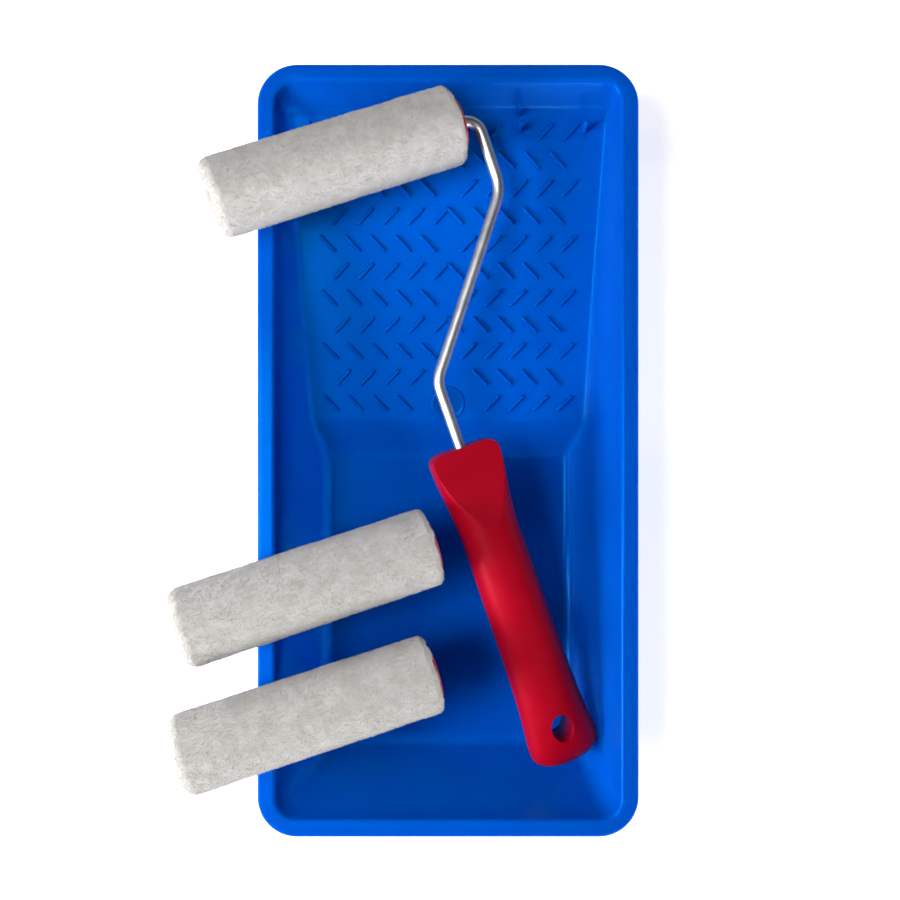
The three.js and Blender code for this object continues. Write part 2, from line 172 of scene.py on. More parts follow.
def skin(rings, closed_ends=True):
    """Vertices and faces through rings of equal length, with a fan over each end."""
    rings = [np.asarray(r, float) for r in rings]
    count = len(rings[0])
    vertices = np.concatenate(rings)
    faces = grid_faces(len(rings), count)
    if closed_ends:
        for start in (0, (len(rings) - 1) * count):
            hub = len(vertices)
            vertices = np.vstack([vertices, vertices[start:start + count].mean(0)])
            faces += [(hub, start + i, start + (i + 1) % count) for i in range(count)]
    return vertices, faces


def turned(outline, steps=96):
    """Vertices and faces of a closed outline of (x, radius) points turned about X."""
    rings = []
    for x, r in outline:
        a = np.linspace(0, 2 * np.pi, steps, endpoint=False)
        rings.append(np.stack([np.full(steps, float(x)), r * np.cos(a), r * np.sin(a)], 1))
    rings.append(rings[0])
    return skin(rings, closed_ends=False)


def rounded(outline, radius, steps=4):
    """The closed outline with every corner rounded to at most the given radius."""
    points = [np.array(p, float) for p in outline]
    out = []
    for i, corner in enumerate(points):
        before, after = points[i - 1] - corner, points[(i + 1) % len(points)] - corner
        reach = min(radius, 0.45 * np.linalg.norm(before), 0.45 * np.linalg.norm(after))
        start = corner + before / np.linalg.norm(before) * reach
        end = corner + after / np.linalg.norm(after) * reach
        for t in np.linspace(0, 1, steps + 1):
            out.append((1 - t) ** 2 * start + 2 * t * (1 - t) * corner + t ** 2 * end)
    return out


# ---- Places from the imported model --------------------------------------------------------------

def node_points(name):
    mesh = nodes[name].data
    points = np.empty(len(mesh.vertices) * 3)
    mesh.vertices.foreach_get("co", points)
    return points.reshape(-1, 3) / MM


def axes_from(x_axis, towards, origin):
    """A 4 by 4 placement with X along x_axis and Y away from the point it looks towards."""
    x = x_axis / np.linalg.norm(x_axis)
    y = origin - towards
    y -= x * y.dot(x)
    y /= np.linalg.norm(y)
    place = np.eye(4)
    place[:3, 0], place[:3, 1], place[:3, 2], place[:3, 3] = x, y, np.cross(x, y), origin
    return place


def roller_place():
    joint = joints["roller_spin"]
    origin = np.array(joint["pos_m"], float) / MM
    low, high = node_points("handle").min(0), node_points("handle").max(0)
    return axes_from(np.array(joint["axis"], float), (low + high) / 2, origin)


def spare_place(prefix):
    """The sleeve's own axes: its core tube gives the middle and the long axis."""
    core = node_points(prefix + "_core_tube")
    middle = core.mean(0)
    direction = np.linalg.svd(core - middle, full_matrices=False)[2][0]
    if direction.dot(node_points(prefix + "_bearing_cap").mean(0) - middle) < 0:
        direction = -direction
    origin = middle - direction * (OPEN_X + CAP_X) / 2
    return axes_from(direction, origin + np.array([0.0, -100.0, 0.0]), origin)


def placed(place, points):
    return np.asarray(points, float) @ place[:3, :3].T + place[:3, 3]


# ---- Materials ---------------------------------------------------------------------------------

class Shader:
    """A material with a Principled shader, and short calls for the nodes it is built from."""

    def __init__(self, name, **sockets):
        self.material = bpy.data.materials.new(name)
        self.material.use_nodes = True
        self.tree = self.material.node_tree
        self.bsdf = self.tree.nodes["Principled BSDF"]
        for key, value in sockets.items():
            self.bsdf.inputs[key.replace("_", " ")].default_value = value

    def node(self, kind, **settings):
        made = self.tree.nodes.new(kind)
        for key, value in settings.items():
            if key in made.inputs:
                made.inputs[key].default_value = value
            else:
                setattr(made, key, value)
        return made

    def link(self, source, target):
        self.tree.links.new(source, target)

    def coordinates(self, stretch=(1, 1, 1), source="Object"):
        where = self.node("ShaderNodeTexCoord")
        mapping = self.node("ShaderNodeMapping")
        mapping.inputs["Scale"].default_value = stretch
        self.link(where.outputs[source], mapping.inputs["Vector"])
        return mapping.outputs["Vector"]

    def noise(self, scale, detail=3.0, stretch=(1, 1, 1), roughness=0.5, source="Object"):
        made = self.node("ShaderNodeTexNoise", Scale=scale, Detail=detail, Roughness=roughness)
        self.link(self.coordinates(stretch, source), made.inputs["Vector"])
        return made.outputs["Fac"]

    def ramp(self, factor, stops):
        made = self.node("ShaderNodeValToRGB")
        elements = made.color_ramp.elements
        for element, (place, colour) in zip(elements, (stops[0], stops[-1])):
            element.position, element.color = place, colour
        for place, colour in stops[1:-1]:
            elements.new(place).color = colour
        self.link(factor, made.inputs["Fac"])
        return made.outputs["Color"]

    def span(self, factor, low, high, start=0.3, end=0.7):
        made = self.node("ShaderNodeMapRange")
        for key, value in (("From Min", start), ("From Max", end), ("To Min", low), ("To Max", high)):
            made.inputs[key].default_value = value
        self.link(factor, made.inputs["Value"])
        return made.outputs["Result"]

    def bump(self, height, strength, distance, before=None):
        made = self.node("ShaderNodeBump", Strength=strength, Distance=distance)
        self.link(height, made.inputs["Height"])
        if before is not None:
            self.link(before, made.inputs["Normal"])
        return made.outputs["Normal"]

    def into(self, socket, output):
        self.link(output, self.bsdf.inputs[socket])


def tray_plastic():
    """Glossy blue polypropylene, a little translucent where thin, with slight flow marks and scuffs."""
    s = Shader("tray_plastic", IOR=1.40, Subsurface_Weight=0.55, Subsurface_Scale=0.0050,
               Subsurface_Radius=(0.1, 1.3, 1.0), Specular_Tint=(0.0, 0.36, 1.0, 1))
    s.into("Base Color", s.ramp(s.noise(28, 4), (
        (0.30, (0.0, 0.078, 0.490, 1)), (0.70, (0.0, 0.086, 0.530, 1)))))
    s.into("Roughness", s.span(s.noise(60, 5, roughness=0.6), 0.17, 0.26))
    flow = s.bump(s.noise(16, 2), 0.08, 0.0006)
    s.into("Normal", s.bump(s.noise(900, 2), 0.04, 0.0001, flow))
    return s.material


def handle_plastic():
    """Satin red moulding with the fine spark-eroded grain of its mould."""
    s = Shader("handle_plastic", IOR=1.48, Specular_Tint=(1.0, 0.26, 0.38, 1))
    s.into("Base Color", s.ramp(s.noise(45, 4), (
        (0.30, (0.37, 0.000, 0.010, 1)), (0.70, (0.41, 0.001, 0.013, 1)))))
    s.into("Roughness", s.span(s.noise(150, 4), 0.34, 0.44))
    grain = s.bump(s.noise(2600, 2), 0.14, 0.00008)
    s.into("Normal", s.bump(s.noise(60, 2), 0.05, 0.0003, grain))
    return s.material


def wire_steel():
    """Drawn wire: fine lines along its length, and a slightly uneven satin zinc finish."""
    s = Shader("wire_steel", Metallic=1.0)
    lines = s.noise(90, 3, stretch=(0.15, 6, 1), source="UV")
    cloud = s.noise(140, 4)
    s.into("Base Color", s.ramp(cloud, ((0.3, (0.66, 0.67, 0.68, 1)), (0.7, (0.78, 0.79, 0.80, 1)))))
    s.into("Roughness", s.span(cloud, 0.36, 0.44))
    s.into("Normal", s.bump(lines, 0.12, 0.00008))
    return s.material


def spring_steel():
    """Plain pressed steel of the clip and collar."""
    s = Shader("spring_steel", Metallic=1.0)
    s.into("Base Color", s.ramp(s.noise(300, 3), (
        (0.3, (0.40, 0.39, 0.37, 1)), (0.7, (0.55, 0.54, 0.52, 1)))))
    s.into("Roughness", s.span(s.noise(500, 3), 0.32, 0.5))
    return s.material


def cap_plastic():
    """Orange-red cap moulding, slightly uneven in colour and gloss."""
    s = Shader("cap_plastic", IOR=1.48)
    s.into("Base Color", s.ramp(s.noise(120, 3), (
        (0.3, (0.30, 0.016, 0.004, 1)), (0.7, (0.37, 0.024, 0.007, 1)))))
    s.into("Roughness", s.span(s.noise(300, 3), 0.36, 0.5))
    s.into("Normal", s.bump(s.noise(1500, 2), 0.1, 0.0001))
    return s.material


def core_plastic():
    """Extruded grey-white tube with a slightly rough surface."""
    s = Shader("core_plastic", IOR=1.48)
    s.into("Base Color", s.ramp(s.noise(90, 3), (
        (0.3, (0.52, 0.52, 0.50, 1)), (0.7, (0.62, 0.61, 0.58, 1)))))
    s.into("Roughness", s.span(s.noise(200, 3), 0.42, 0.55))
    s.into("Normal", s.bump(s.noise(700, 2), 0.15, 0.0001))
    return s.material


def pile_fabric():
    """Off-white plush: soft warm and cool mottling under a fibrous bump, with a faint sheen."""
    s = Shader("pile_fabric", Roughness=0.95, Sheen_Weight=0.15, Sheen_Roughness=0.5, IOR=1.25)
    s.into("Base Color", s.ramp(s.noise(210, 5, roughness=0.6), (
        (0.25, (0.470, 0.451, 0.430, 1)), (0.5, (0.530, 0.514, 0.494, 1)),
        (0.75, (0.585, 0.572, 0.556, 1)))))
    s.into("Normal", s.bump(s.noise(2200, 3, roughness=0.7), 0.25, 0.0002))
    return s.material


# ---- Tray --------------------------------------------------------------------------------------

def soft_max(a, b, reach):
    """The larger of two heights, blended over a height difference of reach."""
    h = np.clip(0.5 + 0.5 * (a - b) / reach, 0, 1)
    return b + (a - b) * h + reach * h * (1 - h)


def soft_min(a, b, reach):
    return -soft_max(-a, -b, reach)


def line(x, x0, x1, y0, y1):
    return y0 + (x - x0) / (x1 - x0) * (y1 - y0)


def eased(x, x0, x1):
    t = np.clip((x - x0) / (x1 - x0), 0, 1)
    return t * t * (3 - 2 * t)


def ramp_z(y):
    return RAMP_LOW_Z + (y - RAMP_LOW_Y) * math.tan(RAMP_SLOPE)


def floor_height(y):
    """Well floor, step and ramp, with a soft foot and brow on the step."""
    step = line(y, STEP_FOOT_Y, RAMP_LOW_Y, FLOOR_Z, RAMP_LOW_Z)
    return soft_max(soft_min(step, ramp_z(y), 0.6), np.full_like(y, FLOOR_Z), 2.0)


def inside_depth(x, y, z, wide):
    """How far a point lies outside the tray's cavity at height z, in plan. wide is 1 beside the ramp."""
    well = line(z, FLOOR_Z, RIM_Z, WELL_HALF_WIDTH, INNER_HALF_WIDTH)
    ramp = line(z, RAMP_LOW_Z, RIM_Z, RAMP_HALF_WIDTH, INNER_HALF_WIDTH)
    half = well + (ramp - well) * wide
    front = line(z, FLOOR_Z, RIM_Z, FRONT_FOOT_Y, FRONT_RIM_Y)
    back = line(z, CREASE_Z, RIM_Z, BACK_FOOT_Y, BACK_RIM_Y)
    front_r = line(z, FLOOR_Z, RIM_Z, CORNER_FOOT_R, CORNER_RIM_R)
    back_r = line(z, CREASE_Z, RIM_Z, CORNER_FOOT_R, CORNER_RIM_R)
    middle, reach = (front + back) / 2, (back - front) / 2
    r = np.maximum(np.where(y < middle, front_r, back_r), 0.3)
    u, v = np.abs(x) - half + r, np.abs(y - middle) - reach + r
    outside = np.hypot(np.maximum(u, 0), np.maximum(v, 0))
    return outside + np.minimum(np.maximum(u, v), 0) - r


def wall_height(x, y):
    """Height at which the cavity's drafted wall stands over each point, found by halving."""
    wide = eased(y, STEP_FOOT_Y, RAMP_LOW_Y)
    low, high = np.full_like(x, -160.0), np.full_like(x, 110.0)
    for _ in range(26):
        middle = (low + high) / 2
        outside = inside_depth(x, y, middle, wide) > 0
        low, high = np.where(outside, middle, low), np.where(outside, high, middle)
    return (low + high) / 2


def filleted(floor, wall, slope, radius):
    """The two surfaces joined by a fillet of about the given radius, found by halving."""
    lean = 1 / np.sqrt(1 + slope ** 2)
    low = np.maximum(floor, wall)
    high = low + radius * 1.2
    for _ in range(22):
        middle = (low + high) / 2
        a = np.maximum(radius - (middle - floor), 0)
        b = np.maximum(radius - (middle - wall) * lean, 0)
        inside = a * a + b * b > radius * radius
        low, high = np.where(inside, middle, low), np.where(inside, high, middle)
    return (low + high) / 2


def inner_height(x, y):
    """The moulded upper surface, up to the flat of the rim."""
    e = 0.02
    wall = wall_height(x, y)
    slope = np.hypot(wall_height(x + e, y) - wall, wall_height(x, y + e) - wall) / e
    radius = WELL_FILLET + (RAMP_FILLET - WELL_FILLET) * eased(y, STEP_FOOT_Y, RAMP_LOW_Y)
    cavity = filleted(floor_height(y), wall, slope, radius)
    rim = np.full_like(cavity, -RIM_Z)
    return -filleted(rim, -cavity, slope, np.full_like(cavity, RIM_FILLET))


def side_places():
    """Places along a long side from -1 to 1, closer together round the step."""
    y = np.concatenate([
        np.linspace(-76.1, 58, 84, endpoint=False), np.linspace(58, 106, 58, endpoint=False),
        np.linspace(106, 214.9, 70)])
    return (y - 69.4) / 145.5


def ring_at(inset):
    """A rounded rectangle inside the rim's outline, its corners tightening towards the middle."""
    half = RIM_HALF_WIDTH - inset
    radius = max(RIM_CORNER_R * (1 - inset / RIM_HALF_WIDTH), 0.02)
    y_low, y_high = RIM_FRONT_Y + inset, RIM_BACK_Y - inset
    middle, reach = (y_low + y_high) / 2, (y_high - y_low) / 2 - radius
    arc = np.linspace(0, np.pi / 2, 17)[1:-1]
    across = np.linspace(-1, 1, 84) * (half - radius)
    along = side_places() * reach
    parts = [np.stack([np.full_like(along, half), middle + along], 1)]
    corner = np.stack([np.cos(arc), np.sin(arc)], 1) * radius
    parts.append(corner + (half - radius, middle + reach))
    parts.append(np.stack([-across, np.full_like(across, y_high)], 1))
    parts.append(corner[::-1] * (-1, 1) + (radius - half, middle + reach))
    parts.append(np.stack([np.full_like(along, -half), middle + along[::-1]], 1))
    parts.append(-corner + (radius - half, middle - reach))
    parts.append(np.stack([across, np.full_like(across, y_low)], 1))
    parts.append(corner[::-1] * (1, -1) + (half - radius, middle - reach))
    return np.concatenate(parts)


def surface_ring(inset, drop=0.0):
    """A ring on the moulded surface, or on its underside when drop is the wall thickness."""
    flat = ring_at(inset)
    x, y = flat[:, 0], flat[:, 1]
    z = inner_height(x, y)
    if drop:
        e = 0.05
        slope_x = (inner_height(x + e, y) - inner_height(x - e, y)) / (2 * e)
        slope_y = (inner_height(x, y + e) - inner_height(x, y - e)) / (2 * e)
        length = np.sqrt(1 + slope_x ** 2 + slope_y ** 2)
        x, y, z = x + slope_x / length * drop, y + slope_y / length * drop, z - drop / length
    return np.stack([x, y, z], 1)


def flat_ring(inset, z):
    flat = ring_at(inset)
    return np.column_stack([flat, np.full(len(flat), z)])


def tray_shell(material):
    """The whole moulding as one closed skin: upper surface, rolled rim edge, lip and underside."""
    centre = RIM_HALF_WIDTH
    top = np.concatenate([
        np.linspace(centre, 31, 26, endpoint=False), np.linspace(31, 20.5, 30, endpoint=False),
        np.linspace(20.5, 15, 18, endpoint=False), np.linspace(15, 9.0, 9, endpoint=False),
        np.linspace(9.0, 5.0, 24, endpoint=False), np.linspace(5.0, LIP_ROUND, 4)])
    rings = [surface_ring(d) for d in top]
    arc = np.linspace(0, np.pi / 2, 7)[1:]
    rings += [flat_ring(LIP_ROUND * (1 - math.sin(a)), RIM_Z - LIP_ROUND_HEIGHT * (1 - math.cos(a)))
              for a in arc]
    foot = RIM_Z - LIP_DEPTH
    rings += [flat_ring(inset, z) for inset, z in (
        (0.0, foot + 4), (0.0, foot + 0.5), (0.15, foot + 0.15), (0.5, foot), (LIP_WALL - 0.5, foot),
        (LIP_WALL - 0.15, foot + 0.15), (LIP_WALL, foot + 0.5), (LIP_WALL, RIM_Z - WALL - 1.2),
        (LIP_WALL + 0.4, RIM_Z - WALL - 0.3), (LIP_WALL + 1.2, RIM_Z - WALL))]
    below = np.concatenate([
        np.linspace(LIP_WALL + 2.2, 11.5, 15, endpoint=False), np.linspace(11.5, 30, 24, endpoint=False),
        np.linspace(30, centre, 16)])
    rings += [surface_ring(d, WALL) for d in below]
    vertices, faces = skin(rings, closed_ends=False)
    piece = new_object("tray_shell", vertices, faces, material, "tray", 50)
    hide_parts("tray")
    return piece


def on_ramp(points, x, y, turn=0.0):
    """Points modelled about the origin, turned and laid on the ramp at a place."""
    points = np.asarray(points, float)
    t = math.radians(turn)
    x1 = points[:, 0] * math.cos(t) - points[:, 1] * math.sin(t)
    y1 = points[:, 0] * math.sin(t) + points[:, 1] * math.cos(t)
    c, s = math.cos(RAMP_SLOPE), math.sin(RAMP_SLOPE)
    return np.stack([x + x1, y + y1 * c - points[:, 2] * s, ramp_z(y) + y1 * s + points[:, 2] * c], 1)


def rib_shape():
    """One rib: a rounded bar with drafted flanks and round ends, a little sunk in the ramp."""
    profile = [(1.25, -0.12), (1.08, 0.03), (1.0, 0.12), (0.93, 0.62), (0.84, 0.84), (0.62, 0.97),
               (0.3, 1.0)]
    straight = RIB_LENGTH / 2 - RIB_WIDTH / 2
    rings = []
    for grow, z in profile:
        half_width = RIB_WIDTH / 2 * grow
        a = np.linspace(-np.pi / 2, np.pi / 2, 8)
        end = np.stack([straight + half_width * np.cos(a), half_width * np.sin(a)], 1)
        loop = np.concatenate([end, -end])
        rings.append(np.column_stack([loop, np.full(len(loop), z * RIB_HEIGHT)]))
    return skin(rings)


def rib_places():
    """Herringbone rows: place and turn of every rib, left out where a post or the boss stands."""
    for row in range(RIB_ROWS):
        even = row % 2 == 0
        for j in range(RIBS_PER_SIDE):
            if (row >= RIB_ROWS - 2 and j == 0) or (row == 0 and j == 2):
                continue
            for side in (-1, 1):
                x = side * ((RIB_EVEN_X if even else RIB_ODD_X) + j * RIB_PITCH_X)
                yield x, RIB_TOP_ROW_Y - row * RIB_PITCH_Y, side * (1 if even else -1) * RIB_ANGLE


def ramp_ribs(material):
    shape, shape_faces = rib_shape()
    vertices, faces = [], []
    for x, y, turn in rib_places():
        offset = sum(len(v) for v in vertices)
        vertices.append(on_ramp(shape, x, y, turn))
        faces += [tuple(i + offset for i in f) for f in shape_faces]
    new_object("ramp_ribs", np.concatenate(vertices), faces, material, "tray", 60)


def ramp_posts(material):
    """Six small upright posts with domed tips and a soft foot."""
    outline = [(-1.0, 1.9), (0.0, 1.75), (0.35, 1.42), (0.9, POST_R), (POST_HEIGHT - 0.9, POST_R * 0.92),
               (POST_HEIGHT - 0.3, POST_R * 0.75), (POST_HEIGHT, POST_R * 0.35)]
    count = 20
    a = np.linspace(0, 2 * np.pi, count, endpoint=False)
    vertices, faces = [], []
    for x, y in POST_PLACES:
        for side in (-1, 1):
            rings = [np.stack([side * x + r * np.cos(a), y + r * np.sin(a), np.full(count, ramp_z(y) + z)], 1)
                     for z, r in outline]
            v, f = skin(rings)
            offset = sum(len(part) for part in vertices)
            vertices.append(v)
            faces += [tuple(i + offset for i in face) for face in f]
    new_object("ramp_posts", np.concatenate(vertices), faces, material, "tray", 50)


def ramp_boss(material):
    """The low round ring below the ribs: a soft bead with a dished middle."""
    outline = [(-0.3, BOSS_R + 0.5), (0.0, BOSS_R + 0.25), (0.22, BOSS_R - 0.15), (0.3, BOSS_R - 0.55),
               (0.24, BOSS_R - 0.95), (0.1, BOSS_R - 1.4), (0.05, BOSS_R - 2.2), (0.05, 1.0)]
    count = 64
    a = np.linspace(0, 2 * np.pi, count, endpoint=False)
    rings = [on_ramp(np.stack([r * np.cos(a), r * np.sin(a), np.full(count, z)], 1), 0, BOSS_Y)
             for z, r in outline]
    vertices, faces = skin(rings)
    new_object("ramp_boss", vertices, faces, material, "tray", 60)


def tray_legs(material):
    """Two channel legs under the shallow end, narrower at the foot, with rounded corners."""
    levels, corner_r, into_ramp = 9, 0.9, 0.8
    vertices, faces = [], []
    for side in (-1, 1):
        rings = []
        for t in np.linspace(0, 1, levels):
            w, d, g = LEG_WIDTH / 2 + LEG_TAPER * t, LEG_DEPTH, LEG_WALL
            channel = [(-w, 0), (w, 0), (w, d), (w - g, d), (w - g, g), (g - w, g), (g - w, d), (-w, d)]
            loop = np.array(rounded(channel, corner_r))
            x, y = side * LEG_X + loop[:, 0], LEG_Y + loop[:, 1]
            high = np.minimum(ramp_z(y), ramp_z(BACK_FOOT_Y)) - into_ramp
            rings.append(np.stack([x, y, t * high], 1))
        v, f = skin(rings, closed_ends=False)
        count = len(rings[0])
        offset = sum(len(part) for part in vertices)
        vertices.append(v)
        faces += [tuple(i + offset for i in face) for face in f]
        faces.append(tuple(offset + i for i in range(count)))
        faces.append(tuple(offset + (levels - 1) * count + i for i in range(count)))
    new_object("tray_legs", np.concatenate(vertices), faces, material, "tray", 40)


# ---- Roller frame ------------------------------------------------------------------------------

def rounded_path(start, corners, end, spacing):
    """Points along straight runs and round bends in a plane, evenly spaced."""
    stops = [np.array(start, float)] + [np.array(c[:2]) for c in corners] + [np.array(end, float)]
    points = [stops[0]]
    for i, (_, _, radius) in enumerate(corners, 1):
        u = (stops[i - 1] - stops[i]) / np.linalg.norm(stops[i - 1] - stops[i])
        v = (stops[i + 1] - stops[i]) / np.linalg.norm(stops[i + 1] - stops[i])
        half = math.acos(u.dot(v)) / 2
        bisector = (u + v) / np.linalg.norm(u + v)
        centre = stops[i] + bisector * radius / math.sin(half)
        first = stops[i] + u * radius / math.tan(half) - centre
        last = stops[i] + v * radius / math.tan(half) - centre
        sweep = math.atan2(first[0] * last[1] - first[1] * last[0], first.dot(last))
        for t in np.linspace(0, sweep, 24):
            turn = np.array([[math.cos(t), -math.sin(t)], [math.sin(t), math.cos(t)]])
            points.append(centre + turn @ first)
    points.append(stops[-1])
    points = np.array(points)
    length = np.concatenate([[0], np.cumsum(np.linalg.norm(np.diff(points, axis=0), axis=1))])
    at = np.linspace(0, length[-1], int(length[-1] / spacing))
    return np.stack([np.interp(at, length, points[:, k]) for k in (0, 1)], 1)


def wire_frame(place, material):
    """The bent wire as one swept round bar with bevelled ends, mapped along its length."""
    wire_in_handle, spacing, bevel, uv_pitch = 50, 0.8, 0.8, 0.02
    path = rounded_path((WIRE_END_X, 0), WIRE_CORNERS, (0, HANDLE_TOP_Y - wire_in_handle), spacing)
    tangent = np.gradient(path, axis=0)
    tangent /= np.linalg.norm(tangent, axis=1)[:, None]
    side = np.stack([-tangent[:, 1], tangent[:, 0]], 1)
    count = 28
    a = np.linspace(0, 2 * np.pi, count, endpoint=False)
    rings = []
    for i, (p, s) in enumerate(zip(path, side)):
        r = WIRE_R * (bevel if i in (0, len(path) - 1) else 1.0)
        rings.append(np.stack([p[0] + s[0] * r * np.cos(a), p[1] + s[1] * r * np.cos(a), r * np.sin(a)], 1))
    vertices, faces = skin(rings)
    wire = new_object("wire_bar", placed(place, vertices), faces, material, "roller_frame", 60)
    layer = wire.data.uv_layers.new(name="along")
    uv = np.zeros((len(wire.data.loops), 2))
    corner = np.empty(len(wire.data.loops), int)
    wire.data.loops.foreach_get("vertex_index", corner)
    ringed = corner < len(path) * count
    uv[ringed, 0] = (corner[ringed] // count) * uv_pitch
    uv[ringed, 1] = (corner[ringed] % count) / count
    layer.data.foreach_set("uv", uv.ravel())
    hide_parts("wire_frame")


def smooth_sections(step):
    """Half widths and half thicknesses along the handle, denser at its ends and smoothed between."""
    s, w, t = np.array(HANDLE_SECTIONS).T
    round_from = 139
    near_end = round_from + (HANDLE_LENGTH - round_from) * np.sin(np.linspace(0, np.pi / 2, 18))
    fine = np.concatenate([
        np.array([0, 0.15, 0.35, 0.6, 0.9, 1.3, 1.8]), np.arange(2.4, round_from, step), near_end])

    def smoothed(v):
        values = np.interp(fine, s, v)
        kernel = np.hanning(9)
        kernel /= kernel.sum()
        padded_values = np.concatenate([np.full(4, values[0]), values, np.full(4, values[-1])])
        even = np.convolve(padded_values, kernel, "valid")
        inner = (fine > 8) & (fine < 137)
        return np.where(inner, even, values)

    return fine, smoothed(w), smoothed(t)


def handle_body(place, material):
    """The moulded handle: drafted halves, a flattened top end, the hanging hole and the wire's socket."""
    count, facet_blend, facet_from = 160, 0.12, 1.5
    a = 2 * np.pi * np.arange(count) / count
    distance, width, thick = smooth_sections(0.8)
    rings = []
    for d, w, t in zip(distance, width, thick):
        top = max(1 - d / FACET_LENGTH, 0) ** 2
        power = 2 / (HANDLE_SQUARENESS + (TOP_SQUARENESS - HANDLE_SQUARENESS) * top)
        c = np.sign(np.cos(a)) * np.abs(np.cos(a)) ** power
        s = np.sign(np.sin(a)) * np.abs(np.sin(a)) ** power
        x = w * c * (1 - PARTING_DRAFT * np.abs(s) * (1 - top))
        z = t * s
        facet = FACET_EDGE + d * (FACET_END - FACET_EDGE) / FACET_LENGTH
        cut_z = soft_min(np.abs(z), np.full(count, facet), facet_blend)
        z = np.where(np.abs(z) > facet_from, np.sign(z) * cut_z, z)
        rings.append(np.stack([x, np.full(count, HANDLE_TOP_Y - d), z], 1))
    vertices, faces = skin(rings)
    body = new_object("handle_grip", placed(place, vertices), faces, material, "roller_frame",
                      60)
    cut(body, hole_cutter(place))
    cut(body, socket_cutter(place))
    body.data.set_sharp_from_angle(angle=math.radians(38))
    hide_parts("handle")
    return body


def hole_cutter(place):
    """The oval hanging hole's tool, flared where it meets both faces."""
    count = 72
    a = np.linspace(0, 2 * np.pi, count, endpoint=False)
    middle_y = HANDLE_TOP_Y - HANDLE_LENGTH + HOLE_FROM_END
    face, lip, beyond, flare = 9.5, 1.3, 14.0, 3.0
    heights = [(beyond, flare)] + [(face + 0.6 - lip * (1 - math.cos(t)), lip * (1 - math.sin(t)))
                                   for t in np.linspace(0, math.pi / 2, 8)]
    levels = heights + [(-z, g) for z, g in reversed(heights)]
    rings = [np.stack([(HOLE_HALF_WIDTH + g) * np.cos(a), middle_y + (HOLE_HALF_LENGTH + g) * np.sin(a),
                       np.full(count, z)], 1) for z, g in levels]
    return tool(place, *skin(rings))


def socket_cutter(place):
    """The hole the wire goes into, with a small funnel at its mouth."""
    count = 48
    a = np.linspace(0, 2 * np.pi, count, endpoint=False)
    rings = []
    for depth, r in ((-3.0, 3.6), (0.0, 3.3), (0.5, 2.85), (1.2, BORE_R), (SOCKET_DEPTH, BORE_R)):
        rings.append(np.stack([r * np.cos(a), np.full(count, HANDLE_TOP_Y - depth), r * np.sin(a)], 1))
    return tool(place, *skin(rings))


def tool(place, vertices, faces):
    mesh = bpy.data.meshes.new("tool")
    mesh.from_pydata((placed(place, vertices) * MM).tolist(), [], faces)
    obj = bpy.data.objects.new("tool", mesh)
    bpy.context.scene.collection.objects.link(obj)
    finish_mesh(obj, 60)
    return obj


def cut(body, cutter):
    """Takes the cutter's volume out of the body and removes the cutter."""
    boolean = body.modifiers.new("cut", "BOOLEAN")
    boolean.operation, boolean.solver, boolean.object = "DIFFERENCE", "EXACT", cutter
    graph = bpy.context.evaluated_depsgraph_get()
    mesh = bpy.data.meshes.new_from_object(body.evaluated_get(graph))
    body.modifiers.clear()
    body.data = mesh
    bpy.data.objects.remove(cutter)
    mesh.shade_smooth()


# ---- Sleeves -----------------------------------------------------------------------------------

def value_noise(points, scale, rng):
    """Smooth repeatable noise, mostly between -1 and 1: a few random waves added together."""
    total = np.zeros(len(points))
    waves = 26
    for _ in range(waves):
        direction = rng.normal(size=3)
        direction /= np.linalg.norm(direction)
        pitch = scale * rng.uniform(0.7, 1.5)
        total += np.sin(points @ direction * 2 * np.pi / pitch + rng.uniform(0, 2 * np.pi))
    return total / math.sqrt(waves)


def pile_profile(cap_gap):
    """Outline of the pile's outer surface: (x, radius) round the open end, along, and down to the cap."""
    low, high, radius = OPEN_X + 0.4, CAP_X - cap_gap, PILE_R - PILE_INSET
    turn = np.linspace(np.pi, np.pi / 2, 26)
    open_end = np.stack([low + OPEN_ROUND + OPEN_ROUND * np.cos(turn),
                         radius - OPEN_ROUND + OPEN_ROUND * np.sin(turn)], 1)
    steps, clear = 150, 0.6
    middle = np.linspace(low + OPEN_ROUND + clear, high - CAP_ROUND - clear, steps)
    along = np.stack([middle, np.full(steps, radius)], 1)
    turn = np.linspace(np.pi / 2, 0, 20)
    cap_end = np.stack([high - CAP_ROUND + CAP_ROUND * np.sin(np.pi / 2 - turn),
                        radius - CAP_ROUND_R + CAP_ROUND_R * np.sin(turn)], 1)
    return np.concatenate([open_end, along, cap_end])


